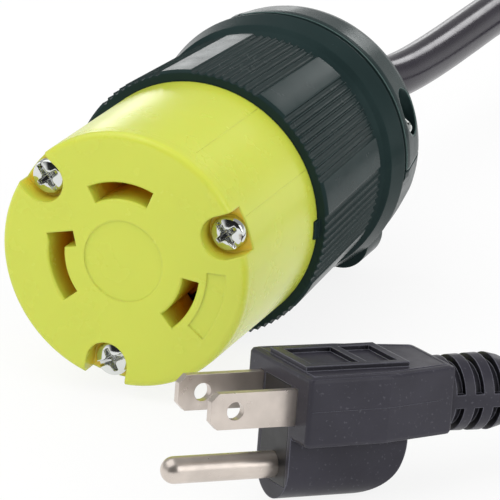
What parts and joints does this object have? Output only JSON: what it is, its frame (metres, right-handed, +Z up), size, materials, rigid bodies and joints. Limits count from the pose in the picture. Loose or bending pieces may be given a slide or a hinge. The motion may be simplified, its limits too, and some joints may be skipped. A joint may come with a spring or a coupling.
{
  "type": "shore power cord",
  "caption": "Short power cord with a round locking connector body at one end and a moulded plug with flat blades and a round pin at the other.",
  "frame": {"origin": "centre of the connector's bounding box, on the floor it lies on", "axes": "+Z up; the connector's axis lies along Y with its slotted face looking along -Y and the cord leaving along +Y; +X is to the right of the face"},
  "size_m": [0.1446, 0.3074, 0.054],
  "materials": {
    "yellow_nylon": "smooth satin moulded nylon",
    "carrier_plastic": "matte moulded thermoset",
    "contact_brass": "bright stamped brass",
    "plated_steel": "bright zinc or nickel plate",
    "green_screw": "green dyed plating",
    "housing_nylon": "semi-gloss moulded nylon",
    "bushing_rubber": "matte rubber",
    "insulation_black": "smooth vinyl insulation",
    "insulation_white": "smooth vinyl insulation",
    "insulation_green": "smooth vinyl insulation",
    "copper": "bare stranded copper",
    "cord_jacket": "satin vinyl jacket",
    "plug_vinyl": "semi-matte moulded vinyl",
    "bridge_plastic": "matte moulded plastic",
    "blade_metal": "nickel plated brass"
  },
  "bodies": {
    "cord_set": {"front_body": "yellow_nylon", "contact_carrier": "carrier_plastic", "contact_live_a": "contact_brass", "contact_live_b": "contact_brass", "contact_earth": "contact_brass", "pressure_plates": "plated_steel", "terminal_screws": "contact_brass", "terminal_screw_earth": "green_screw", "screw_inserts": "contact_brass", "housing": "housing_nylon", "clamp_lower": "housing_nylon", "clamp_nut_lower": "plated_steel", "cord_bushing": "bushing_rubber", "wire_black": "insulation_black", "wire_white": "insulation_white", "wire_green": "insulation_green", "wire_ends": "copper", "cord": "cord_jacket", "plug_body": "plug_vinyl", "plug_bridge": "bridge_plastic", "blade_live": "blade_metal", "blade_neutral": "blade_metal", "earth_pin": "blade_metal", "plug_wire_black": "insulation_black", "plug_wire_white": "insulation_white", "plug_wire_green": "insulation_green"},
    "face_screw_a": {"face_screw_a": "plated_steel"},
    "face_screw_b": {"face_screw_b": "plated_steel"},
    "face_screw_c": {"face_screw_c": "plated_steel"},
    "clamp_half": {"clamp_upper": "housing_nylon", "clamp_nut_upper": "plated_steel"},
    "clamp_screw_left": {"clamp_screw_left": "plated_steel"},
    "clamp_screw_right": {"clamp_screw_right": "plated_steel"}
  },
  "joints": [
    {"name": "face_screw_a_turn", "type": "hinge", "parent": "cord_set", "child": "face_screw_a", "pos_m": [0.01964, -0.05, 0.03415], "axis": [0, -1, 0], "continuous": true},
    {"name": "face_screw_b_turn", "type": "hinge", "parent": "cord_set", "child": "face_screw_b", "pos_m": [-0.01601, -0.05, 0.04043], "axis": [0, -1, 0], "continuous": true},
    {"name": "face_screw_c_turn", "type": "hinge", "parent": "cord_set", "child": "face_screw_c", "pos_m": [-0.00363, -0.05, 0.00642], "axis": [0, -1, 0], "continuous": true},
    {"name": "clamp_open", "type": "slide", "parent": "cord_set", "child": "clamp_half", "axis": [0.6157, 0, 0.788], "range_m": [0, 0.0021]},
    {"name": "clamp_screw_left_turn", "type": "hinge", "parent": "cord_set", "child": "clamp_screw_left", "pos_m": [-0.01143, 0.0249, 0.03593], "axis": [-0.6157, 0, -0.788], "range_deg": [0, 1080]},
    {"name": "clamp_screw_right_turn", "type": "hinge", "parent": "clamp_half", "child": "clamp_screw_right", "pos_m": [0.01143, 0.0249, 0.01807], "axis": [0.6157, 0, 0.788], "range_deg": [0, 1080]}
  ],
  "couplings": [
    {"joint": "clamp_screw_left_turn", "follows": "clamp_open", "rad_per_m": 8976},
    {"joint": "clamp_screw_right_turn", "follows": "clamp_open", "rad_per_m": 8976}
  ]
}
